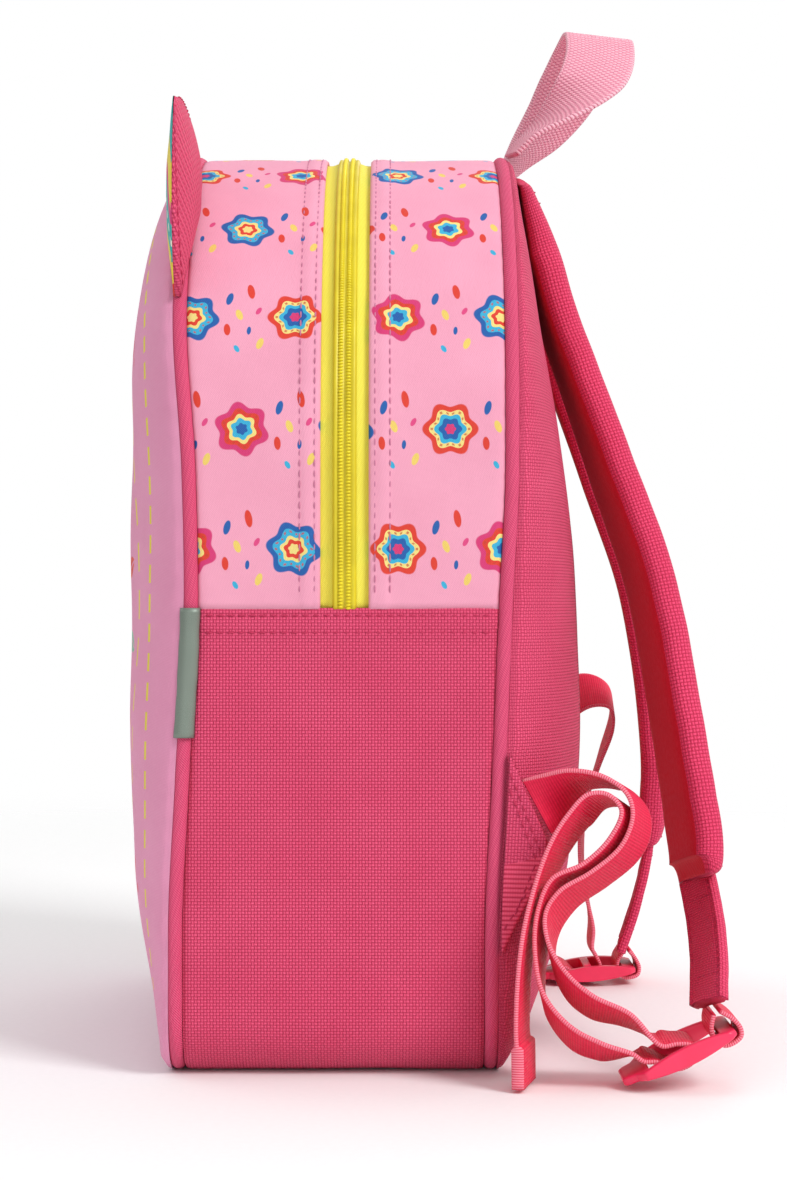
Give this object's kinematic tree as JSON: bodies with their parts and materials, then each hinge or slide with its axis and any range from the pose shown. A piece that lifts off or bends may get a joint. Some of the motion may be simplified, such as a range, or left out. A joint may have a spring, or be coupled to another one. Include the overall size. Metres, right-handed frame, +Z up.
{
  "type": "kids backpack",
  "caption": "Small child's zipped backpack with padded back, two ears, grab handle and two adjustable shoulder straps.",
  "frame": {"origin": "middle of the flat bottom, on the surface the bag stands on", "axes": "+Z up, -Y towards the printed front panel, +Y towards the padded back and straps, +X the wearer's right"},
  "size_m": [0.2763, 0.2031, 0.3591],
  "materials": {
    "front_print": "smooth printed polyester, light pink",
    "side_print": "smooth printed polyester, light pink with small bright motifs",
    "ear_print": "smooth printed polyester with bright bands",
    "pink_cloth": "coarse woven polyester, hot pink",
    "strap_cloth": "coarse woven polyester over foam, hot pink",
    "piping_cloth": "woven polyester wrapped round a cord, hot pink",
    "reflective": "grey reflective tape",
    "zip_tape": "knitted zip tape, bright yellow",
    "zip_coil": "nylon coil, yellow",
    "zip_slider": "enamelled slider and puller, yellow",
    "handle_webbing": "coarse waffle webbing, light pink",
    "strap_webbing": "ribbed webbing with light edges, red-pink",
    "lock_plastic": "satin moulded plastic, red-pink"
  },
  "bodies": {
    "root": {"front_panel": "front_print", "back_panel": "pink_cloth", "upper_gusset_front": "side_print", "upper_gusset_back": "side_print", "lower_gusset": "pink_cloth", "zip_tape_front": "zip_tape", "zip_tape_back": "zip_tape", "zip_coil": "zip_coil", "zip_slider": "zip_slider", "front_piping": "piping_cloth", "back_piping": "piping_cloth", "reflective_sleeve_right": "reflective", "reflective_sleeve_left": "reflective", "ear_back_right": "pink_cloth", "ear_back_left": "pink_cloth", "ear_front_right": "ear_print", "ear_front_left": "ear_print", "grab_handle": "handle_webbing", "shoulder_strap_right": "strap_cloth", "shoulder_strap_left": "strap_cloth", "strap_sleeve_right": "strap_cloth", "strap_sleeve_left": "strap_cloth", "buckle_webbing_right": "strap_webbing", "buckle_webbing_left": "strap_webbing", "ladder_lock_right": "lock_plastic", "ladder_lock_left": "lock_plastic", "bottom_tab_right": "pink_cloth", "bottom_tab_left": "pink_cloth", "adjust_webbing_right": "strap_webbing", "adjust_webbing_left": "strap_webbing"}
  },
  "joints": []
}
